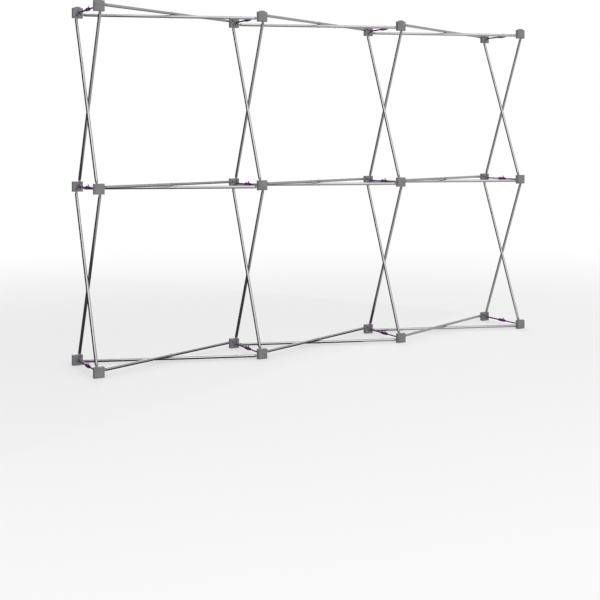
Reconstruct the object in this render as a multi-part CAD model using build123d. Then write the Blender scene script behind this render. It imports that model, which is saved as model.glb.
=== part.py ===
"""Folding lattice frame of a tabletop pop-up display.

Millimetres. X runs along the width, Y from the front to the rear, Z up.
The origin is the middle of the frame's footprint, on the surface it stands on.
"""

from build123d import *
from math import atan2, degrees, hypot
import os

os.makedirs("parts", exist_ok=True)

# Lattice
COLUMNS = 4
ROWS = 3
PITCH = 731.5  # from hub centre to hub centre, sideways and upwards
DEPTH = 300.0  # from the front pads' faces to the rear hubs' faces

# Hub, with depths measured inwards from its outer face
HUB = 43.0  # side of the square block
HUB_DEEP = 20.0
HUB_EDGE = 1.0  # bevel round the outer face
PAD = 37.0
PAD_THICK = 1.0
CREST_WIDE = 24.0
CREST_FLAT = 16.0  # level part of the crest's top
CREST_HIGH = 5.0

# Hinges between hubs and tubes
ASIDE = 7.0  # from the hub's centre to the plane in which a tube swings
PIVOT_OUT = 13.0  # from the hub's centre to a pin's axis
PIVOT_DEEP = 12.0
PIN_R = 2.0
EYE_R = 2.05
SLOT_WIDE = 7.6
SLOT_IN = 8.2  # from the hub's centre to the near end of a slot
SLOT_FLOOR = 7.0

# Tubes and their end plugs
TUBE_R = 6.5
NECK = 19.0  # from a pin's axis to the tube's end
PLUG_THICK = 7.0  # along the pin
PLUG_WIDE = 8.3
PLUG_TIP = 1.75  # half width of the plug's blunt tip
RIVET_TOP = 1.8  # past the plane half-way between two crossed tubes
RIVET_DEEP = 1.6  # how far a rivet and its hole go below a tube's surface

# Lock arm roots and the ears that hold them
ARM_THICK = 5.0
EAR_THICK = 3.0
EAR_HIGH = 10.0
EAR_END = 34.0
ROOT_HALF = 7.0
ROOT_TO = 35.0
ROOT_BEVEL = 4.0

# Purple arm, measured from the rear hub's outer face
BAR_ROOT_HALF = 4.5
BAR_HALF = 3.3
BAR_SLIM_FROM = 46.0
SWELL_FROM = 118.0
SWELL_VIA = (132.0, 6.1)
SWELL_TO = (146.0, 7.0)
MOUTH = (175.0, 5.4)
SOCKET_WIDE = 11.0
CHANNEL_FROM = 141.0
CHANNEL_WIDE = 5.0
CHANNEL_HIGH = 8.0

# Spring latch in the socket
LATCH_PIVOT = (132.0, 4.4)
LATCH_PIN_R = 1.0
LATCH_EYE_R = 1.05
LATCH_WIDE = 4.0
LATCH_KNUCKLE_R = 2.0
LATCH_LOW = 4.3
LATCH_HIGH = 6.4
LATCH_END = 173.0
SEAT_WIDE = 4.6
SEAT_FROM = 129.6
TOOTH = (156.3, 160.0)
TOOTH_LOW = 2.3
FIN = (155.5, 164.5)
FIN_TIP = (158.0, 162.0)
FIN_TOP = 15.0
FIN_THICK = 2.2
HEEL = (132.5, 139.5)  # the low hump over the latch's pin
HEEL_TOP = 9.0

# Dark arm, measured from the front hub's outer face
CATCH_THICK = 4.0
CATCH_SHAPE = [  # distance, half height
    (34.0, 3.0),
    (138.0, 2.6),
    (138.0, 1.8),
    (144.0, 1.8),
    (144.0, 3.5),
    (155.0, 1.2),
]

# Worked out from the driving dimensions
SPACING = DEPTH - 2 * PIVOT_DEEP  # between the front and rear pins
RISE = PITCH - 2 * PIVOT_OUT
TUBE_SPAN = hypot(RISE, SPACING)  # from pin to pin
LEAN = degrees(atan2(RISE, SPACING))  # of an open tube from the Y axis

ROW_NAMES = ["bottom", "middle", "top"]
BAY_NAMES = ["lower", "upper"]
OWN_LATCH = [(1, 1), (2, 1)]  # (column, row) of latches that are nodes

# The four slots of a hub are one slot turned about its Y axis
TURN = {"up": 0, "right": 90, "down": 180, "left": 270}


def column_x(column):
    return (column - (COLUMNS - 1) / 2) * PITCH


def row_z(row):
    return HUB / 2 + row * PITCH


def cuboid(x, y, z):
    """A box given by its (low, high) limits along each axis."""
    shape = Box(x[1] - x[0], y[1] - y[0], z[1] - z[0], align=Align.MIN)
    return Pos(x[0], y[0], z[0]) * shape


def slab(points, thick):
    """A closed outline of (y, z) points, thickened evenly about X = 0."""
    outline = Polyline(*[(0, y, z) for y, z in points], close=True)
    return extrude(make_face(outline), amount=thick / 2, dir=(1, 0, 0), both=True)


def mirrored(points):
    """An outline from (distance, half height) points along its upper side."""
    return points + [(y, -z) for y, z in reversed(points)]


def peg(radius, long, y=0.0, z=0.0):
    """A six-sided pin along X, with its corners at the given radius."""
    face = RegularPolygon(radius, 6)
    return Pos(0, y, z) * Rot(0, 90, 0) * extrude(face, long / 2, both=True)


def eye(radius, long, y=0.0, z=0.0):
    """A six-sided hole for a peg, with its flats at the given radius, to cut away."""
    face = RegularPolygon(radius, 6, major_radius=False)
    return Pos(0, y, z) * Rot(0, 90, 0) * extrude(face, long / 2, both=True)


def hub_slot():
    """The hollow in which a plug swings, open above and behind."""
    half = SLOT_WIDE / 2
    over = 1.0
    return cuboid(
        (-ASIDE - half, -ASIDE + half),
        (SLOT_FLOOR, HUB_DEEP + over),
        (SLOT_IN, HUB / 2 + CREST_HIGH + over),
    )


def hub_pin():
    """A hinge pin, moulded in one with the slot's walls."""
    return Pos(-ASIDE, 0, 0) * peg(PIN_R, SLOT_WIDE + 1, PIVOT_DEEP, PIVOT_OUT)


def hub_crest(face):
    """The low rounded crest along the top of a top-row hub."""
    foot = HUB / 2 - 1
    shoulder = HUB / 2 + CREST_HIGH / 2
    crown = HUB / 2 + CREST_HIGH
    half, flat = CREST_WIDE / 2, CREST_FLAT / 2
    start = face + HUB_EDGE
    outline = [(-half, foot), (-half, shoulder), (-flat, crown)]
    outline += [(-x, z) for x, z in reversed(outline)]
    profile = make_face(Polyline(*[(x, start, z) for x, z in outline], close=True))
    return extrude(profile, amount=HUB_DEEP - start, dir=(0, 1, 0))


def hub_ears():
    """The two cheeks behind the hub that hold the lock arm's root."""
    inner, outer = ARM_THICK / 2, ARM_THICK / 2 + EAR_THICK
    deep = (HUB_DEEP - 1, EAR_END)
    high = (-EAR_HIGH / 2, EAR_HIGH / 2)
    return cuboid((inner, outer), deep, high) + cuboid((-outer, -inner), deep, high)


def hub_moulding(sides, has_crest, face):
    """A hub from its face at the given depth, with slots on some sides."""
    half = HUB / 2
    block = cuboid((-half, half), (face, HUB_DEEP), (-half, half))
    block = chamfer(block.faces().sort_by(Axis.Y)[0].edges(), HUB_EDGE)
    if has_crest:
        block += hub_crest(face)
    for side in sides:
        block -= Rot(0, TURN[side], 0) * hub_slot()
    for side in sides:
        block += Rot(0, TURN[side], 0) * hub_pin()
    return block + hub_ears()


def hub_pad():
    """The thin square on a front hub that holds a fabric graphic."""
    return cuboid((-PAD / 2, PAD / 2), (0, PAD_THICK), (-PAD / 2, PAD / 2))


def arm_root():
    """An arm's thick root, flat against the hub and bevelled at its far end."""
    outline = [(HUB_DEEP, ROOT_HALF), (ROOT_TO - ROOT_BEVEL, ROOT_HALF)]
    outline.append((ROOT_TO, ROOT_HALF - ROOT_BEVEL))
    return slab(mirrored(outline), ARM_THICK)


def catch_arm():
    """The dark arm of a front hub, with a notched, pointed tip."""
    return arm_root() + slab(mirrored(CATCH_SHAPE), CATCH_THICK)


def socket_swell():
    """The swollen part of the purple arm, curved in side view."""
    neck, mouth = (SWELL_FROM, BAR_HALF), MOUTH
    low = [(y, -z) for y, z in (neck, SWELL_VIA, SWELL_TO, mouth)]
    outline = [
        ThreePointArc((0, *neck), (0, *SWELL_VIA), (0, *SWELL_TO)),
        Line((0, *SWELL_TO), (0, *mouth)),
        Line((0, *mouth), (0, *low[3])),
        Line((0, *low[3]), (0, *low[2])),
        ThreePointArc((0, *low[2]), (0, *low[1]), (0, *low[0])),
        Line((0, *low[0]), (0, *neck)),
    ]
    profile = make_face(Wire(outline))
    return extrude(profile, amount=SOCKET_WIDE / 2, dir=(1, 0, 0), both=True)


def socket_arm():
    """The purple arm of a rear hub: bar, swollen socket and latch seat."""
    bar = [
        (ROOT_TO - 1, BAR_ROOT_HALF),
        (BAR_SLIM_FROM, BAR_HALF),
        (SWELL_FROM + 1, BAR_HALF),
    ]
    arm = arm_root() + slab(mirrored(bar), ARM_THICK) + socket_swell()
    end = MOUTH[0] + 1
    half_wide, half_high = CHANNEL_WIDE / 2, CHANNEL_HIGH / 2
    arm -= cuboid((-half_wide, half_wide), (CHANNEL_FROM, end), (-half_high, half_high))
    half_seat = SEAT_WIDE / 2
    y, z = LATCH_PIVOT
    pocket_end = y + LATCH_KNUCKLE_R + 1
    pocket_floor = z - LATCH_KNUCKLE_R - 0.2
    arm -= cuboid((-half_seat, half_seat), (SEAT_FROM, pocket_end), (pocket_floor, 9))
    arm -= cuboid((-half_seat, half_seat), (SEAT_FROM, end), (half_high - 0.1, 9))
    return arm + peg(LATCH_PIN_R, SEAT_WIDE + 1, y, z)


def latch():
    """The spring latch: a lever with a tooth below and a thumb fin above."""
    y, z = LATCH_PIVOT
    lever = slab(
        [
            (y, LATCH_LOW),
            (TOOTH[0], LATCH_LOW),
            (TOOTH[0], TOOTH_LOW),
            (TOOTH[1], TOOTH_LOW + 1),
            (TOOTH[1], LATCH_LOW),
            (LATCH_END, LATCH_LOW),
            (LATCH_END, LATCH_HIGH),
            (y, LATCH_HIGH),
        ],
        LATCH_WIDE,
    )
    root = (FIN[0], LATCH_HIGH - 0.5), (FIN[1], LATCH_HIGH - 0.5)
    tip = (FIN_TIP[1], FIN_TOP), (FIN_TIP[0], FIN_TOP)
    fin = Pos((LATCH_WIDE - FIN_THICK) / 2, 0, 0) * slab([*root, *tip], FIN_THICK)
    foot = (HEEL[1], LATCH_HIGH - 0.5), (HEEL[0], LATCH_HIGH - 0.5)
    heel = slab([*foot, (HEEL[0] + 1, HEEL_TOP), (HEEL[1] - 3, HEEL_TOP)], LATCH_WIDE)
    knuckle = peg(LATCH_KNUCKLE_R, LATCH_WIDE, y, z)
    return lever + heel + fin + knuckle - eye(LATCH_EYE_R, LATCH_WIDE + 2, y, z)


def bare_tube():
    """A closed tube along Y, centred on the middle of its length."""
    return Rot(90, 0, 0) * Cylinder(TUBE_R, TUBE_SPAN - 2 * NECK)


def riveted_tube():
    """A tube with the rivet of its pair standing out of its +X side."""
    start, end = TUBE_R - RIVET_DEEP, ASIDE + RIVET_TOP
    return bare_tube() + Pos((start + end) / 2, 0, 0) * peg(PIN_R, end - start)


def drilled_tube():
    """A tube drilled on its -X side for the other tube's rivet."""
    return bare_tube() - Pos(-TUBE_R, 0, 0) * eye(EYE_R, 2 * RIVET_DEEP)


def plug():
    """The end plug of a tube, along +Y, with its pin eye at the origin."""
    half = PLUG_WIDE / 2
    outline = mirrored([(-half, PLUG_TIP), (-PLUG_TIP, half), (NECK, half)])
    return slab(outline, PLUG_THICK) - eye(EYE_R, PLUG_THICK + 2)


def tube_solids(is_carrier, lean):
    """A tube with two plugs, centred on its middle and leaning from +Y to +Z."""
    tube = riveted_tube() if is_carrier else drilled_tube()
    near_plug = Pos(0, -TUBE_SPAN / 2, 0) * plug()
    far_plug = Rot(0, 0, 180) * near_plug
    return [Rot(lean, 0, 0) * solid for solid in (tube, near_plug, far_plug)]


def save(solids, name, place):
    """Write one node's solids at their place in the frame."""
    group = Compound(children=[place * solid for solid in solids])
    export_step(group, f"parts/{name}.step")


def slot_sides(column, row):
    """The sides on which a front hub has slots."""
    used = {
        "up": row < ROWS - 1,
        "right": column < COLUMNS - 1,
        "down": row > 0,
        "left": column > 0,
    }
    return [side for side in TURN if used[side]]


def write_hubs():
    """The hubs of each column and row, front and rear, with their arms."""
    # A rear hub is turned half way round, so its left and right swap
    swap = {"up": "up", "right": "left", "down": "down", "left": "right"}
    pad, dark_arm, purple_arm, lever = hub_pad(), catch_arm(), socket_arm(), latch()
    for column in range(COLUMNS):
        for row in range(ROWS):
            tag = f"{ROW_NAMES[row]}_{column + 1}"
            sides = slot_sides(column, row)
            is_top = row == ROWS - 1
            x, z = column_x(column), row_z(row)

            front = hub_moulding(sides, is_top, PAD_THICK)
            place = Pos(x, -DEPTH / 2, z)
            save([front, pad, dark_arm], f"front_hub_{tag}", place)

            rear = hub_moulding([swap[side] for side in sides], is_top, 0)
            place = Pos(x, DEPTH / 2, z) * Rot(0, 0, 180)
            if (column, row) in OWN_LATCH:
                save([rear, purple_arm], f"rear_hub_{tag}", place)
                save([lever], f"lock_latch_{tag}", place)
            else:
                save([rear, purple_arm, lever], f"rear_hub_{tag}", place)


def write_tubes():
    """The crossed pairs: uprights stand in YZ planes, crossbars lie flat."""
    carrier = tube_solids(True, LEAN)
    drilled = tube_solids(False, -LEAN)
    for column in range(COLUMNS):
        for bay in range(ROWS - 1):
            name = f"upright_{BAY_NAMES[bay]}_{column + 1}"
            x, z = column_x(column), row_z(bay) + PITCH / 2
            save(carrier, f"{name}_leaning_back", Pos(x - ASIDE, 0, z))
            save(drilled, f"{name}_leaning_forward", Pos(x + ASIDE, 0, z))
    lie_flat = Rot(0, TURN["right"], 0)
    for row in range(ROWS):
        for bay in range(COLUMNS - 1):
            name = f"crossbar_{ROW_NAMES[row]}_{bay + 1}"
            x, z = column_x(bay) + PITCH / 2, row_z(row)
            save(carrier, f"{name}_running_back", Pos(x, 0, z + ASIDE) * lie_flat)
            save(drilled, f"{name}_running_forward", Pos(x, 0, z - ASIDE) * lie_flat)


write_hubs()
write_tubes()
print("tube span", round(TUBE_SPAN, 2), "lean", round(LEAN, 3))
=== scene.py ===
# %% [markdown]
# # A folding lattice frame, dressed for its picture
#
# The CAD model already fixes where every hub, tube and lock is. This lesson
# gives each of them its finished skin. Everything is in metres, X runs along
# the width, Y from the front to the rear and Z up.

import bpy
import numpy as np
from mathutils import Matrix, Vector


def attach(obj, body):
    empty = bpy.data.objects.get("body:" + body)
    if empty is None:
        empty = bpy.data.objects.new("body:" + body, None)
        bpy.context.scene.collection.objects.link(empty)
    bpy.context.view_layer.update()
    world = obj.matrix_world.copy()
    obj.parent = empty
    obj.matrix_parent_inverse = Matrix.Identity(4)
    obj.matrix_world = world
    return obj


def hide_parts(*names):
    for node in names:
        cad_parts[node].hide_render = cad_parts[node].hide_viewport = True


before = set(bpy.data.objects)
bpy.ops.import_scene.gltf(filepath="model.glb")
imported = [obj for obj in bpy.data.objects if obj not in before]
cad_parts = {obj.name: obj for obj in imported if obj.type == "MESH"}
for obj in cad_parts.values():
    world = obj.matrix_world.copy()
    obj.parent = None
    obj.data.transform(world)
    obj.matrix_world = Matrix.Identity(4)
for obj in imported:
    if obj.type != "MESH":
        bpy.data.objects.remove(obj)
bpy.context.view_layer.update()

# %% [markdown]
# The numbers below are the same as in the CAD source. They come first because
# each piece is worked out in its own small frame and then moved to its place,
# and the places follow from the lattice: four columns, three rows, equal pitch.

# %% Sizes shared with the CAD source
MM = 0.001
COLUMNS, ROWS = 4, 3
PITCH, DEPTH, HUB = 731.5 * MM, 300 * MM, 43 * MM
ASIDE, PIVOT_OUT, PIVOT_DEEP = 7 * MM, 13 * MM, 12 * MM  # a tube's pin, from the hub's middle and face
ARM_PIN = 28 * MM  # the lock arm's pin, from the hub's face
ROW_NAMES = ["bottom", "middle", "top"]
BAY_NAMES = ["lower", "upper"]
OWN_LATCH = [(1, 1), (2, 1)]  # (column, row) of the two latches that turn by themselves

rise = PITCH - 2 * PIVOT_OUT
spacing = DEPTH - 2 * PIVOT_DEEP
span = float(np.hypot(rise, spacing))
lean_sin, lean_cos = rise / span, spacing / span
print("tube span", round(span, 4), "lean", round(float(np.degrees(np.arcsin(lean_sin))), 2))

# %% [markdown]
# A closed skin can be made from a grid of points: each row of points is one
# ring round the piece, and each four neighbours are a face. Building the face
# list with array arithmetic keeps the loop out of Python, and the same list
# serves for a tube, a plug and a curved lock arm.

# %% Rings of points become a closed skin
def ring_faces(rings, around):
    """Quads between neighbouring rings; the last point of a ring meets its first."""
    ring, step = np.meshgrid(np.arange(rings - 1), np.arange(around), indexing="ij")
    here = ring * around + step
    beside = ring * around + (step + 1) % around
    return np.stack([here, beside, beside + around, here + around], axis=-1).reshape(-1, 4)


def closed_skin(rings):
    """Rings (n, around, 3) with a fan of triangles to a middle point at each end."""
    count, around, _ = rings.shape
    points = np.concatenate([rings.reshape(-1, 3), rings[:1].mean(axis=1), rings[-1:].mean(axis=1)])
    step = np.arange(around)
    after = (step + 1) % around
    last = (count - 1) * around
    first_fan = np.stack([after, step, np.full(around, count * around)], axis=-1)
    last_fan = np.stack([last + step, last + after, np.full(around, count * around + 1)], axis=-1)
    faces = ring_faces(count, around).tolist() + first_fan.tolist() + last_fan.tolist()
    return points, faces


def join(parts):
    """Several (points, faces) skins as one, with the later faces renumbered."""
    points, faces, start = [], [], 0
    for part_points, part_faces in parts:
        points.append(part_points)
        faces += [[corner + start for corner in face] for face in part_faces]
        start += len(part_points)
    return np.concatenate(points), faces


print("a tube of 2 rings and 24 points has", len(ring_faces(2, 24)), "side faces")

# %% [markdown]
# Two families of form cover nearly everything here. A **revolved** form is a
# profile spun round an axis: tubes, rivets, pins. A **lofted** form is a rounded
# rectangle that changes its width, height and roundness along Y: plugs, arms,
# pads. The rounded rectangle is a superellipse, because one exponent moves it
# smoothly from an ellipse to an almost square block.

# %% Revolved and lofted forms
def revolved(profile, around=32, axis=1):
    """Each (distance along the axis, radius) is a circle: radius times cos and sin of the angle."""
    profile = np.asarray(profile, float)
    angle = np.linspace(0, 2 * np.pi, around, endpoint=False)
    rings = np.zeros((len(profile), around, 3))
    first, second = [(1, 2), (2, 0), (0, 1)][axis]
    rings[..., axis] = profile[:, :1]
    rings[..., first] = profile[:, 1:] * np.cos(angle)
    rings[..., second] = profile[:, 1:] * np.sin(angle)
    return closed_skin(rings)


def section_ring(y, middle_x, middle_z, half_x, half_z, power, around=32):
    """Half sizes times cos and sin of the angle, each raised to 2/power with its sign kept."""
    angle = np.linspace(0, 2 * np.pi, around, endpoint=False)
    cosine, sine = np.cos(angle), np.sin(angle)
    x = middle_x + half_x * np.sign(cosine) * np.abs(cosine) ** (2 / power)
    z = middle_z + half_z * np.sign(sine) * np.abs(sine) ** (2 / power)
    return np.stack([x, np.full(around, y), z], axis=-1)


def lofted(stations, around=32):
    """Stations (y, middle x, middle z, half x, half z, power), in millimetres, from low to high y."""
    rings = [section_ring(*station, around=around) for station in stations]
    points, faces = closed_skin(np.stack(rings) * MM)
    return points, [face[::-1] for face in faces]


def eased(stations, round_by):
    """The same stations with the first and last sections pulled in over a short rounded end."""
    share = 0.3  # of the rounding, where the section between the end and its neighbour lies
    stations = [list(s) for s in stations]
    ends, between = [], []
    for s, sign in ((stations[0], 1), (stations[-1], -1)):
        y, x, z, half_x, half_z, power = s
        ends.append([y, x, z, half_x - round_by, half_z - round_by, power])
        s[0] = y + sign * round_by
        between.append([y + (s[0] - y) * share, x, z,
                        half_x - round_by * share, half_z - round_by * share, power])
    return [ends[0], between[0], *stations, between[1], ends[1]]


print("a plain pin has", len(revolved([(0, 1), (1, 1)])[1]), "faces")

# %% [markdown]
# The hub is a square moulding with straight slots, so it's neither revolved nor
# lofted. It could be cut with Boolean modifiers, but those leave odd triangles.
# Here it's a small box of cells: cutting a slot empties some cells, and the skin
# is every wall between a full cell and an empty one. A Bevel modifier rounds the
# edges afterwards, as the mould does.

# %% A skin round full cells
def cell_skin(xs, ys, zs, full):
    """Quads on each side of each full cell whose neighbour on that side is empty."""
    padded = np.pad(full, 1)
    shape = np.array([len(xs), len(ys), len(zs)])
    grid = np.stack(np.meshgrid(xs, ys, zs, indexing="ij"), axis=-1).reshape(-1, 3)
    quads = []
    for axis in range(3):
        u, v = [(1, 2), (2, 0), (0, 1)][axis]
        for side in (0, 1):
            beyond = np.roll(padded, 1 if side == 0 else -1, axis=axis)[1:-1, 1:-1, 1:-1]
            cells = np.argwhere(full & ~beyond)
            corner = cells.copy()
            corner[:, axis] += side
            steps = [(0, 0), (1, 0), (1, 1), (0, 1)]
            if side == 0:
                steps = steps[::-1]
            quad = []
            for du, dv in steps:
                at = corner.copy()
                at[:, u] += du
                at[:, v] += dv
                quad.append(np.ravel_multi_index(at.T, shape))
            quads.append(np.stack(quad, axis=-1))
    quads = np.concatenate(quads)
    used, faces = np.unique(quads, return_inverse=True)
    return grid[used], faces.reshape(-1, 4).tolist()


# %% [markdown]
# A piece is ready when its points are in its place, its object sits at the
# origin and it rides on a body. Smooth shading by angle keeps flat faces flat
# and curved ones round.

# %% Put a skin into the scene
def moved(skin, origin, x_axis=(1, 0, 0), y_axis=(0, 1, 0)):
    """Points times the three axes of the new place, plus its origin."""
    points, faces = skin
    x_axis, y_axis = np.asarray(x_axis, float), np.asarray(y_axis, float)
    turn = np.stack([x_axis, y_axis, np.cross(x_axis, y_axis)])
    return points @ turn + np.asarray(origin, float), faces


def piece(name, skin, finish, body, bevel=0.0):
    """A mesh object from one skin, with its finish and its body."""
    points, faces = skin
    mesh = bpy.data.meshes.new(name)
    mesh.from_pydata(points.tolist(), [], faces)
    mesh.validate()
    mesh.materials.append(finish)
    mesh.shade_smooth()
    mesh.set_sharp_from_angle(angle=np.radians(38))
    item = bpy.data.objects.new(name, mesh)
    bpy.context.scene.collection.objects.link(item)
    if bevel:
        rounding = item.modifiers.new("rounding", "BEVEL")
        rounding.width = bevel
        rounding.segments = 2
        rounding.limit_method = "ANGLE"
        rounding.harden_normals = False
    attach(item, body)
    return item


# %% [markdown]
# ## Finishes
#
# Moulded plastic isn't one flat colour. Two sizes of noise move its colour and
# roughness a little, and a very fine one gives the grain that the mould leaves.
# The same recipe, with other numbers, serves for the hubs, plugs and lock arms.

# %% Moulded plastic
def node(tree, kind, **values):
    """A new node, with each value given to the input of that name, or else to the node itself."""
    made = tree.nodes.new(kind)
    for key, value in values.items():
        if key in made.inputs:
            made.inputs[key].default_value = value
        else:
            setattr(made, key, value)
    return made


def two_tones(tree, dark, light):
    """A colour ramp from dark to light over the middle of the noise's range."""
    tone = node(tree, "ShaderNodeValToRGB")
    for element, position, colour in zip(tone.color_ramp.elements, (0.3, 0.7), (dark, light)):
        element.position = position
        element.color = (*colour, 1)
    return tone


def about(tree, middle, swing):
    """The noise's 0 to 1 becomes middle minus swing to middle plus swing."""
    spread = node(tree, "ShaderNodeMapRange")
    spread.inputs["To Min"].default_value = middle - swing
    spread.inputs["To Max"].default_value = middle + swing
    return spread


def moulded(name, dark, light, roughness, grain=0.12, spec=0.5):
    """Noise mixes two close colours; finer noise moves the roughness and the bump."""
    finish = bpy.data.materials.new(name)
    finish.use_nodes = True
    tree = finish.node_tree
    shader = tree.nodes["Principled BSDF"]
    shader.inputs["Specular IOR Level"].default_value = spec
    place = node(tree, "ShaderNodeTexCoord")
    cloud = node(tree, "ShaderNodeTexNoise", Scale=38.0, Detail=4.0, Roughness=0.6)
    fine = node(tree, "ShaderNodeTexNoise", Scale=1900.0, Detail=2.0, Roughness=0.5)
    tone = two_tones(tree, dark, light)
    rough = about(tree, roughness, 0.07)
    bump = node(tree, "ShaderNodeBump", Strength=grain, Distance=0.0002)
    link = tree.links.new
    link(place.outputs["Object"], cloud.inputs["Vector"])
    link(place.outputs["Object"], fine.inputs["Vector"])
    link(cloud.outputs["Fac"], tone.inputs["Fac"])
    link(tone.outputs["Color"], shader.inputs["Base Color"])
    link(cloud.outputs["Fac"], rough.inputs["Value"])
    link(rough.outputs["Result"], shader.inputs["Roughness"])
    link(fine.outputs["Fac"], bump.inputs["Height"])
    link(bump.outputs["Normal"], shader.inputs["Normal"])
    return finish


hub_grey = moulded("hub_grey_plastic",
                   (0.175, 0.176, 0.18), (0.215, 0.216, 0.22), 0.58, 0.25, 0.3)
pad_grey = moulded("pad_grey_tape",
                   (0.175, 0.176, 0.18), (0.235, 0.236, 0.24), 0.85, 0.9, 0.15)
plug_grey = moulded("plug_grey_plastic",
                    (0.20, 0.202, 0.205), (0.27, 0.272, 0.275), 0.5, 0.12, 0.3)
seal_dark = moulded("seal_dark_rubber", (0.025, 0.025, 0.027), (0.05, 0.05, 0.053), 0.6, 0.2, 0.3)
lock_purple = moulded("lock_purple_plastic",
                      (0.12, 0.010, 0.145), (0.165, 0.015, 0.20), 0.5, 0.12, 0.12)
arm_dark = moulded("arm_dark_plastic", (0.026, 0.016, 0.032), (0.042, 0.028, 0.05), 0.45, 0.12, 0.25)

# %% [markdown]
# Drawn aluminium has fine scratches along the tube. They have to follow each
# tube wherever it points, so this finish reads the tube's own UV map, in which
# U goes round the tube and V along it in metres.

# %% Drawn aluminium
def drawn_aluminium(name, dark, light, metal, roughness):
    """Noise stretched along V draws long streaks in the colour, roughness and bump."""
    finish = bpy.data.materials.new(name)
    finish.use_nodes = True
    tree = finish.node_tree
    shader = tree.nodes["Principled BSDF"]
    shader.inputs["Metallic"].default_value = metal
    place = node(tree, "ShaderNodeTexCoord")
    along = node(tree, "ShaderNodeMapping")
    along.inputs["Scale"].default_value = (60.0, 6.0, 1.0)
    streak = node(tree, "ShaderNodeTexNoise", Scale=1.0, Detail=5.0, Roughness=0.65)
    tone = two_tones(tree, dark, light)
    rough = about(tree, roughness, 0.08)
    bump = node(tree, "ShaderNodeBump", Strength=0.08, Distance=0.0002)
    link = tree.links.new
    link(place.outputs["UV"], along.inputs["Vector"])
    link(along.outputs["Vector"], streak.inputs["Vector"])
    link(streak.outputs["Fac"], tone.inputs["Fac"])
    link(tone.outputs["Color"], shader.inputs["Base Color"])
    link(streak.outputs["Fac"], rough.inputs["Value"])
    link(rough.outputs["Result"], shader.inputs["Roughness"])
    link(streak.outputs["Fac"], bump.inputs["Height"])
    link(bump.outputs["Normal"], shader.inputs["Normal"])
    return finish


tube_metal = drawn_aluminium("tube_drawn_aluminium",
                             (0.29, 0.293, 0.297), (0.37, 0.373, 0.377), 0.95, 0.22)
rivet_steel = moulded("rivet_steel", (0.42, 0.42, 0.43), (0.55, 0.55, 0.56), 0.35, 0.05)
rivet_steel.node_tree.nodes["Principled BSDF"].inputs["Metallic"].default_value = 0.8
print("finishes", len(bpy.data.materials))

# %% [markdown]
# ## Hubs
#
# A hub is a square block with a slot for each tube. The four slots are one slot
# turned round the block's middle, like a pinwheel, so that crossing tubes pass
# beside each other. Only the sides that carry a tube have a slot.

# %% Hub block
CUTS = np.array([-21.5, -10.8, -8.2, -3.2, 3.2, 8.2, 10.8, 21.5]) * MM
SLOT_FLOOR, BLOCK_BACK = 7, 20  # millimetres behind the hub's face
SLOT_CELLS = {  # the cells that each side's slot empties: across, then upwards
    "up": (slice(1, 3), slice(5, 7)), "right": (slice(5, 7), slice(4, 6)),
    "down": (slice(4, 6), slice(0, 2)), "left": (slice(0, 2), slice(1, 3)),
}
PIN_AT = {"up": (-ASIDE, PIVOT_OUT), "right": (PIVOT_OUT, ASIDE),
          "down": (ASIDE, -PIVOT_OUT), "left": (-PIVOT_OUT, -ASIDE)}
PIN_HALF, PIN_RADIUS = 4.4 * MM, 2 * MM


def hub_block(sides, face):
    """Cells between the cuts, two layers deep, with slot cells of the rear layer emptied."""
    full = np.ones((len(CUTS) - 1, 2, len(CUTS) - 1), bool)
    for side in sides:
        across, upwards = SLOT_CELLS[side]
        full[across, 1, upwards] = False
    return cell_skin(CUTS, np.array([face, SLOT_FLOOR, BLOCK_BACK]) * MM, CUTS, full)


def hub_pins(sides):
    """One short cylinder across each slot, along the axis its tube turns about."""
    pins = []
    for side in sides:
        x, z = PIN_AT[side]
        rod = revolved([(-PIN_HALF, PIN_RADIUS), (PIN_HALF, PIN_RADIUS)], 16, axis=0)
        x_axis = (1, 0, 0) if side in ("up", "down") else (0, 0, -1)
        pins.append(moved(rod, (x, PIVOT_DEEP, z), x_axis))
    return pins


def hub_sides(column, row):
    """The sides of a hub that have a neighbour, as seen from the front."""
    used = {"up": row < ROWS - 1, "right": column < COLUMNS - 1,
            "down": row > 0, "left": column > 0}
    return [side for side in PIN_AT if used[side]]


print("slots in all", 2 * sum(len(hub_sides(c, r)) for c in range(COLUMNS) for r in range(ROWS)))

# %% [markdown]
# Behind each block stand two cheeks that hold the lock arm's root between them,
# with the head of a pin on each side. The top hubs also carry a low rounded
# crest. Each is a short loft.

# %% Cheeks, crest and pad
def hub_cheeks():
    """Two lofts that end round, each with a flat dome for the pin's head."""
    cheek_middle, cheek_outside = 4, 5.45
    head = [(0, 2.3), (0.35, 2.25), (0.7, 1.7), (0.85, 0.8)]
    dome = revolved(np.array(head) * MM, 20, axis=0)
    parts = []
    for side in (-1, 1):
        x = side * cheek_middle
        parts.append(lofted([(19, x, 0, 1.5, 5, 8), (31, x, 0, 1.5, 5, 8),
                             (33, x, 0, 1.45, 4.2, 5), (34, x, 0, 1.2, 3.0, 4)]))
        head_at = (side * cheek_outside * MM, ARM_PIN, 0)
        parts.append(moved(dome, head_at, (side, 0, 0), (0, side, 0)))
    return parts


def hub_crest(face):
    """A loft whose upper half stands above the block; its lower half is inside it."""
    form = (0, 20.5, 12, 6, 3.2)  # middle x, middle z, half x, half z, power
    first, last = face + 1, BLOCK_BACK - 0.3
    return lofted(eased([(first, *form), (last, *form)], round_by=0.7), 48)


def pad_skin():
    """A thin loft with a softened rim."""
    return lofted([(0, 0, 0, 18.1, 18.1, 12), (0.12, 0, 0, 18.4, 18.4, 12),
                   (0.4, 0, 0, 18.5, 18.5, 12), (1.0, 0, 0, 18.5, 18.5, 12)], 64)


print("cheeks", len(hub_cheeks()) // 2, "pad faces", len(pad_skin()[1]))

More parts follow.
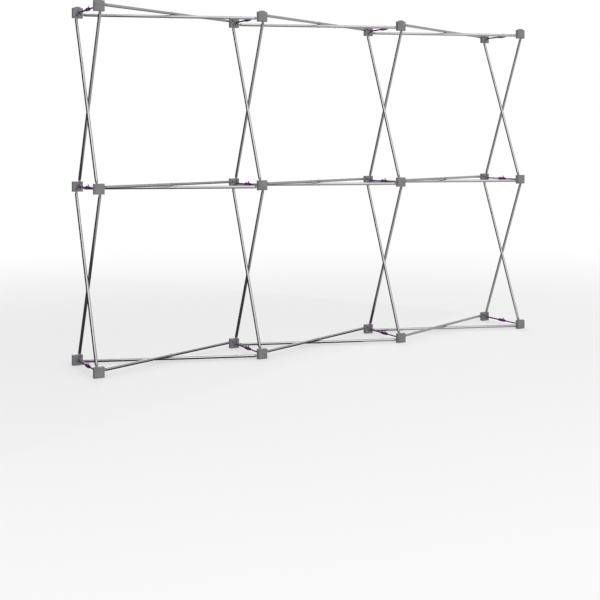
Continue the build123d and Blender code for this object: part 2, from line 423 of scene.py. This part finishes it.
# %% [markdown]
# ## Lock arms
#
# Between each front and rear hub a dark arm slides into a purple socket, and a
# latch inside drops behind its head. The purple arm is one loft: out along the
# bar, over the swelling, round the rim of the mouth and back inside as the
# channel. The groove for the latch is pressed into the top of the same loft.

# %% Purple arm
OUTER = [  # y, half x, half z, power
    (33, 2.5, 4.6, 7), (46, 2.5, 3.3, 7), (117, 2.5, 3.3, 7), (121, 3.0, 4.2, 5),
    (126, 4.0, 5.4, 4), (132, 4.9, 6.2, 3.6), (139, 5.35, 6.8, 3.4), (146, 5.5, 7.0, 3.4),
    (154, 5.45, 6.7, 3.4), (163, 5.3, 6.1, 3.6), (173.6, 4.95, 5.5, 3.8), (174.6, 4.7, 5.2, 3.8),
    (175, 4.3, 4.8, 3.8),
]
INNER = [(174.7, 2.7, 4.2, 7), (173, 2.5, 4.0, 7), (141, 2.5, 4.0, 7)]
SWELL_FROM, STEP = 117, 2.0  # past here the rings stand this close together
GROOVE_FROM, GROOVE_HALF, GROOVE_FLOOR = 129.6, 2.25, 3.4
GROOVE_EASE, CHANNEL_TOP = 0.35, 3.2


def arm_rings(sections):
    """A ring of 72 points for each (y, half x, half z, power), about the arm's middle line."""
    return np.stack([section_ring(y, 0, 0, *rest, around=72) for y, *rest in sections])


def purple_arm():
    """Outer rings, then inner rings back into the socket, with the groove pressed in."""
    sections = []
    for near, far in zip(OUTER[:-1], OUTER[1:]):
        steps = max(1, int((far[0] - near[0]) / STEP)) if far[0] > SWELL_FROM else 1
        mix = np.linspace(0, 1, steps, endpoint=False)[:, None]
        sections += ((1 - mix) * np.array(near) + mix * np.array(far)).tolist()
    rings = arm_rings([*sections, OUTER[-1]])
    x, y, z = rings[..., 0], rings[..., 1], rings[..., 2]
    wall = np.clip((np.abs(x) - GROOVE_HALF) / GROOVE_EASE, 0, 1)
    pressed = GROOVE_FLOOR + (z - GROOVE_FLOOR) * wall
    rings[..., 2] = np.where((y > GROOVE_FROM) & (z > GROOVE_FLOOR), pressed, z)
    channel = arm_rings(INNER)
    channel[..., 2] = np.minimum(channel[..., 2], CHANNEL_TOP)
    points, faces = closed_skin(np.concatenate([rings, channel]) * MM)
    return points, [face[::-1] for face in faces]


def arm_root():
    """A thick round-edged disc on the pin, with a foot that reaches the hub."""
    half_edge = [(-2.5, 0.5), (-2.5, 6.4), (-2.3, 6.8), (-1.9, 7)]
    edge = half_edge + [(-x, radius) for x, radius in reversed(half_edge)]
    disc = moved(revolved(np.array(edge) * MM, 40, axis=0), (0, ARM_PIN, 0))
    foot = lofted([(20, 0, 0, 2.45, 6.9, 9), (28, 0, 0, 2.45, 6.9, 9)])
    return [disc, foot]


def dark_arm():
    """A slim loft with a waist that the latch drops into, and a pointed head."""
    stations = [(33, 0, 0, 2, 3.0, 7), (137.6, 0, 0, 2, 2.6, 7), (138.2, 0, 0, 1.9, 1.8, 7),
                (144, 0, 0, 1.9, 1.8, 7), (144.2, 0, 0, 2, 3.5, 7), (150, 0, 0, 1.9, 2.4, 5),
                (154, 0, 0, 1.6, 1.4, 4), (155, 0, 0, 1.1, 0.9, 3)]
    return lofted(stations)


print("purple arm faces", len(purple_arm()[1]), "dark arm faces", len(dark_arm()[1]))

# %% [markdown]
# The latch is a flat lever with a tooth underneath and a fin on top for the
# thumb. The fin is a loft that climbs instead of running along Y, so it's made
# lying down and then turned up.

# %% Latch with its thumb fin
def latch_skin():
    lever = lofted([
        (130.3, 0, 4.5, 1.9, 1.1, 4), (131.5, 0, 4.6, 2, 1.8, 4), (134, 0, 5.35, 2, 1.05, 5),
        (170, 0, 5.35, 2, 1.05, 5), (172, 0, 5.45, 1.9, 0.9, 4), (173, 0, 5.5, 1.6, 0.55, 3)])
    tooth = lofted([
        (156.3, 0, 3.6, 1.9, 1.3, 8), (158, 0, 3.8, 1.9, 1.1, 8), (160, 0, 4.2, 1.9, 0.7, 8)])
    hump = lofted([
        (132.6, 0, 6.5, 1.8, 0.7, 4), (133.4, 0, 7.2, 2, 1.6, 4), (135.5, 0, 7.3, 2, 1.7, 4),
        (138, 0, 6.8, 2, 1.2, 4), (139.5, 0, 6.3, 1.8, 0.5, 4)])
    lying_fin = lofted([
        (5.6, 0, 0, 1.1, 4.6, 6), (7.5, 0, 0, 1.1, 4.2, 6), (10, 0, 0, 1.1, 3.2, 5),
        (12.5, 0, 0, 1.1, 2.5, 5), (14.3, 0, 0, 1.05, 2.1, 4), (15, 0, 0, 0.75, 1.5, 3)])
    fin_at = (0.9 * MM, 160 * MM, 0)
    fin = moved(lying_fin, fin_at, (1, 0, 0), (0, 0, 1))
    return join([lever, tooth, hump, fin])


print("latch faces", len(latch_skin()[1]))

# %% [markdown]
# With the forms ready, a loop sets them at all twelve places. A front hub looks
# to the rear and a rear hub is turned half way round to look at it, so both use
# the same skins.

# %% Set out the hubs and locks
def column_x(column):
    """Columns stand one pitch apart, centred on X = 0."""
    return (column - (COLUMNS - 1) / 2) * PITCH


def row_z(row):
    """The lowest hub stands on the floor; each further row is one pitch up."""
    return HUB / 2 + row * PITCH


def set_hub(end, tag, sides, at, axes, face, is_top):
    """One hub's block with its slots, and its cheeks, pins and crest as a second piece."""
    body = f"{end}_hub_{tag}"
    block = piece(f"{end}_block_{tag}", moved(hub_block(sides, face), at, *axes),
                  hub_grey, body, bevel=0.8 * MM)
    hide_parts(body)
    trim = hub_cheeks() + hub_pins(sides) + ([hub_crest(face)] if is_top else [])
    piece(f"{end}_cheeks_{tag}", moved(join(trim), at, *axes), hub_grey, body)
    return body


seen_from_behind = {"up": "up", "right": "left", "down": "down", "left": "right"}
looks_back, looks_forward = ((1, 0, 0), (0, 1, 0)), ((-1, 0, 0), (0, -1, 0))
purple = join([purple_arm(), *arm_root()])
dark = join([dark_arm(), *arm_root()])
latch = latch_skin()

for column in range(COLUMNS):
    for row in range(ROWS):
        tag = f"{ROW_NAMES[row]}_{column + 1}"
        x, z = column_x(column), row_z(row)
        sides, is_top = hub_sides(column, row), row == ROWS - 1

        at, axes = (x, -DEPTH / 2, z), looks_back
        body = set_hub("front", tag, sides, at, axes, 1, is_top)
        piece(f"front_pad_{tag}", moved(pad_skin(), at, *axes), pad_grey, body)
        piece(f"dark_arm_{tag}", moved(dark, at, *axes), arm_dark, body)

        at, axes = (x, DEPTH / 2, z), looks_forward
        body = set_hub("rear", tag, [seen_from_behind[side] for side in sides], at, axes, 0, is_top)
        piece(f"purple_arm_{tag}", moved(purple, at, *axes), lock_purple, body)
        own = (column, row) in OWN_LATCH
        rider, slot = (f"lock_latch_{tag}", "lock_purple") if own else (body, "hub_grey")
        lever = piece(f"latch_{tag}", moved(latch, at, *axes), lock_purple, rider)
        if own:
            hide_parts(rider)

# %% [markdown]
# ## Tubes
#
# A tube has rolled ends, a grey plug in each end and a thin dark seal between.
# The plug starts as a round collar and flattens into the tongue that sits in
# the hub's slot. Where two tubes cross, a rivet with two domed heads holds them
# and a washer keeps them apart.

# %% Tube, plug, seal and rivet
HALF_SPAN = span / 2 / MM
HALF_TUBE = HALF_SPAN - 19  # the tube ends this far short of its pins
AROUND_TUBE = 40


def tube_skin():
    """A long revolved wall with a small round at each end."""
    end = [(0, 5.5), (0, 6.2), (0.12, 6.42), (0.4, 6.5)]
    low = [(-HALF_TUBE + y, r) for y, r in end]
    high = [(HALF_TUBE - y, r) for y, r in reversed(end)]
    return revolved(np.array(low + high) * MM, AROUND_TUBE)


def plug_skin():
    """From the tongue's tip: a rounded bar that swells into a collar of the tube's size."""
    tongue = [(-4.15, 0, 0, 3.2, 1.2, 5), (-3.6, 0, 0, 3.5, 2.6, 5), (-1.75, 0, 0, 3.5, 4.0, 6),
              (0, 0, 0, 3.5, 4.15, 7), (11.5, 0, 0, 3.5, 4.15, 7)]
    collar = [(13.2, 0, 0, 4.2, 4.6, 4), (14.2, 0, 0, 5.7, 5.8, 2.3), (14.8, 0, 0, 6.15, 6.15, 2),
              (18.2, 0, 0, 6.3, 6.3, 2), (18.3, 0, 0, 5.4, 5.4, 2), (24, 0, 0, 5.3, 5.3, 2)]
    return lofted(tongue + collar, AROUND_TUBE)


def seal_skin():
    """A narrow ring, a little smaller than the tube, just outside its end."""
    return revolved(np.array([(18.2, 5.2), (18.2, 6.1), (19.05, 6.1), (19.05, 5.2)]) * MM, AROUND_TUBE)


def rivet_skin():
    """Along X from head to head: dome, shank, washer, shank, dome."""
    shank, head, far = 2, 3.4, 20.5
    near_head = [(-7.6, 0.6), (-7.5, 1.8), (-7.1, 2.9), (-6.5, head), (-6.1, head), (-6.1, shank)]
    washer = [(6.55, shank), (6.55, 4.6), (7.45, 4.6), (7.45, shank)]
    far_head = [(far - 0.4, shank), (far - 0.4, head), (far, head), (far + 0.6, 2.9),
                (far + 1.0, 1.8), (far + 1.1, 0.6)]
    return revolved(np.array(near_head + washer + far_head) * MM, 24, axis=0)


def both_ends(skin):
    """The same skin at the near pin and, turned half way round, at the far pin."""
    near = moved(skin, (0, -HALF_SPAN * MM, 0))
    far = moved(skin, (0, HALF_SPAN * MM, 0), (-1, 0, 0), (0, -1, 0))
    return join([near, far])


tube, plugs, seals = tube_skin(), both_ends(plug_skin()), both_ends(seal_skin())
rivet = rivet_skin()
tube_points = tube[0]
turn_share = np.arctan2(tube_points[:, 2], tube_points[:, 0]) / (2 * np.pi)
tube_uv = np.stack([turn_share, tube_points[:, 1]], axis=-1)
print("tube length", round(2 * HALF_TUBE, 1), "mm")

# %% [markdown]
# Uprights stand in upright planes and crossbars lie flat. A crossbar pair is an
# upright pair laid over, so the same four directions serve for both.

# %% Set out the tubes
def map_along(item, values):
    """A UV for every face corner, from the value at its point."""
    layer = item.data.uv_layers.new(name="along")
    corner = np.empty(len(item.data.loops), np.int32)
    item.data.loops.foreach_get("vertex_index", corner)
    layer.data.foreach_set("uv", values[corner].ravel())


def set_tube(body, at, x_axis, y_axis, has_rivet):
    """A tube, its plugs and its seals; one tube of each crossing pair also has the rivet."""
    place, slot = (at, x_axis, y_axis), "tube_aluminium"
    wall = piece(f"{body}_tube", moved(tube, *place), tube_metal, body)
    map_along(wall, tube_uv)
    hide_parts(body)
    piece(f"{body}_plugs", moved(plugs, *place), plug_grey, body)
    piece(f"{body}_seals", moved(seals, *place), seal_dark, body)
    if has_rivet:
        piece(f"{body}_rivet", moved(rivet, *place), rivet_steel, body)


for column in range(COLUMNS):
    for bay in range(ROWS - 1):
        name = f"upright_{BAY_NAMES[bay]}_{column + 1}"
        x, z = column_x(column), row_z(bay) + PITCH / 2
        back, forward = (0, lean_cos, lean_sin), (0, lean_cos, -lean_sin)
        set_tube(f"{name}_leaning_back", (x - ASIDE, 0, z), (1, 0, 0), back, True)
        set_tube(f"{name}_leaning_forward", (x + ASIDE, 0, z), (1, 0, 0), forward, False)
for row in range(ROWS):
    for bay in range(COLUMNS - 1):
        name = f"crossbar_{ROW_NAMES[row]}_{bay + 1}"
        x, z = column_x(bay) + PITCH / 2, row_z(row)
        back, forward = (lean_sin, lean_cos, 0), (-lean_sin, lean_cos, 0)
        set_tube(f"{name}_running_back", (x, 0, z + ASIDE), (0, 0, -1), back, True)
        set_tube(f"{name}_running_forward", (x, 0, z - ASIDE), (0, 0, -1), forward, False)

# %% [markdown]
# ## Studio
#
# The floor is pale and keeps the frame's shadow. Away from the frame it fades to
# plain white for the camera and for reflections, so that it has no far edge.

# %% Floor
def link_item(name, data):
    """An object for this data, in the scene."""
    item = bpy.data.objects.new(name, data)
    bpy.context.scene.collection.objects.link(item)
    return item


floor_mesh = bpy.data.meshes.new("floor")
floor_mesh.from_pydata([(-30, -30, 0), (30, -30, 0), (30, 60, 0), (-30, 60, 0)], [], [(0, 1, 2, 3)])
floor = link_item("floor", floor_mesh)

floor_finish = bpy.data.materials.new("floor_white")
floor_finish.use_nodes = True
tree = floor_finish.node_tree
shader = tree.nodes["Principled BSDF"]
shader.inputs["Base Color"].default_value = (0.86, 0.86, 0.86, 1)
shader.inputs["Roughness"].default_value = 0.9
glow = node(tree, "ShaderNodeEmission", Color=(1, 1, 1, 1), Strength=1.0)
path = node(tree, "ShaderNodeLightPath")
seen = node(tree, "ShaderNodeMath", operation="MAXIMUM")
place = node(tree, "ShaderNodeTexCoord")
away = node(tree, "ShaderNodeVectorMath", operation="LENGTH")
fade = node(tree, "ShaderNodeMapRange", interpolation_type="SMOOTHSTEP")
fade.inputs["From Min"].default_value = 1.2
fade.inputs["From Max"].default_value = 5.0
fade.inputs["To Min"].default_value = 0.42
part_seen = node(tree, "ShaderNodeMath", operation="MULTIPLY")
mix = node(tree, "ShaderNodeMixShader")
link = tree.links.new
link(path.outputs["Is Camera Ray"], seen.inputs[0])
link(path.outputs["Is Glossy Ray"], seen.inputs[1])
link(place.outputs["Object"], away.inputs[0])
link(away.outputs["Value"], fade.inputs["Value"])
link(seen.outputs[0], part_seen.inputs[0])
link(fade.outputs["Result"], part_seen.inputs[1])
link(part_seen.outputs[0], mix.inputs["Fac"])
link(shader.outputs["BSDF"], mix.inputs[1])
link(glow.outputs["Emission"], mix.inputs[2])
link(mix.outputs["Shader"], tree.nodes["Material Output"].inputs["Surface"])
floor_mesh.materials.append(floor_finish)
print("floor white from", fade.inputs["From Max"].default_value, "m")

# %% [markdown]
# The background is white for the camera and for reflections, and dimmer for the
# light that falls on the frame, so that the lamps can shape it.

# %% White background
world = bpy.data.worlds.new("studio")
bpy.context.scene.world = world
world.use_nodes = True
tree = world.node_tree
tree.nodes.clear()
lit = node(tree, "ShaderNodeBackground", Color=(1, 1, 1, 1), Strength=0.55)
white = node(tree, "ShaderNodeBackground", Color=(1, 1, 1, 1), Strength=1.0)
path = node(tree, "ShaderNodeLightPath")
first = node(tree, "ShaderNodeMath", operation="MAXIMUM")
second = node(tree, "ShaderNodeMath", operation="MAXIMUM")
mix = node(tree, "ShaderNodeMixShader")
out = node(tree, "ShaderNodeOutputWorld")
link = tree.links.new
link(path.outputs["Is Camera Ray"], first.inputs[0])
link(path.outputs["Is Glossy Ray"], first.inputs[1])
link(first.outputs[0], second.inputs[0])
link(path.outputs["Is Transmission Ray"], second.inputs[1])
link(second.outputs[0], mix.inputs["Fac"])
link(lit.outputs["Background"], mix.inputs[1])
link(white.outputs["Background"], mix.inputs[2])
link(mix.outputs["Shader"], out.inputs["Surface"])
print("light on the frame", lit.inputs["Strength"].default_value, "of the white that is seen")

# %% [markdown]
# One large soft lamp stands behind the camera and well above it, so that
# whatever faces up and forwards is lightest. A weaker one fills the rear.

# %% Lamps
def lamp(name, at, toward, size, power):
    """A square area lamp, turned so that it shines from one point toward another."""
    light = bpy.data.lights.new(name, "AREA")
    light.shape = "SQUARE"
    light.size = size
    light.energy = power
    item = link_item(name, light)
    item.location = at
    way = Vector(toward) - Vector(at)
    item.rotation_euler = way.to_track_quat("-Z", "Y").to_euler()


frame_middle = (0, 0, 0.75)
lamp("key", (-0.8, -6.2, 5.4), frame_middle, size=8.5, power=370)
lamp("back_fill", (2.5, 6.5, 4.0), frame_middle, size=4.5, power=130)
print("lamps", len(bpy.data.lights))

# %% [markdown]
# Bare metal shows whatever is round it. Photographers stand a black flag beside
# a tube so that one flank goes dark and its roundness reads. The flags here are
# two panels on the left and a grey mat on the floor. Only reflections see them,
# so the plastic parts and the floor are lit as if they weren't there.

# %% Dark flags
def flag(name, corners, cloth):
    """A flat panel that shows in reflections alone."""
    mesh = bpy.data.meshes.new(name)
    mesh.from_pydata(corners, [], [tuple(range(len(corners)))])
    mesh.materials.append(cloth)
    item = link_item(name, mesh)
    item.visible_camera = item.visible_diffuse = item.visible_shadow = False


flag_black = moulded("flag_black", (0.01, 0.01, 0.01), (0.02, 0.02, 0.02), 0.9, 0.0, 0.0)
flag_grey = moulded("flag_grey", (0.06, 0.06, 0.06), (0.08, 0.08, 0.08), 0.9, 0.0, 0.0)
TOP, JUST_UP = 9, 0.004  # the panels' height, and the mat's height over the floor
flag("flag_left", [(-6, -4.6, 0), (-6, 4, 0), (-6, 4, TOP), (-6, -4.6, TOP)], flag_black)
flag("flag_back_left", [(-6, 4, 0), (-2, 8.5, 0), (-2, 8.5, TOP), (-6, 4, TOP)], flag_black)
mat_corners = [(-6, -3.6), (-1.5, -0.9), (1.2, 0.4), (-3, 8.5), (-6, 4)]
flag("flag_mat", [(x, y, JUST_UP) for x, y in mat_corners], flag_grey)
print("flags reach", TOP, "m up")

# %% [markdown]
# ## Camera
#
# The camera was fitted to the hubs' places in the photograph: it looks level,
# turned a little to the right, and its picture is shifted down and left, as a
# shift lens does, so that upright tubes stay upright.

# %% Camera
lens = bpy.data.cameras.new("photo_view")
lens.sensor_width = 36
lens.lens = 62.76
lens.shift_x = -0.0289
lens.shift_y = -0.2633
eye = link_item("photo_view", lens)
eye.location = (-2.4487, -4.1819, 0.9408)
eye.rotation_euler = (np.pi / 2, 0, -0.5286)
bpy.context.scene.camera = eye
bpy.context.scene.view_settings.view_transform = "Standard"
print("camera looks", round(float(np.degrees(0.5286)), 1), "degrees to the right")
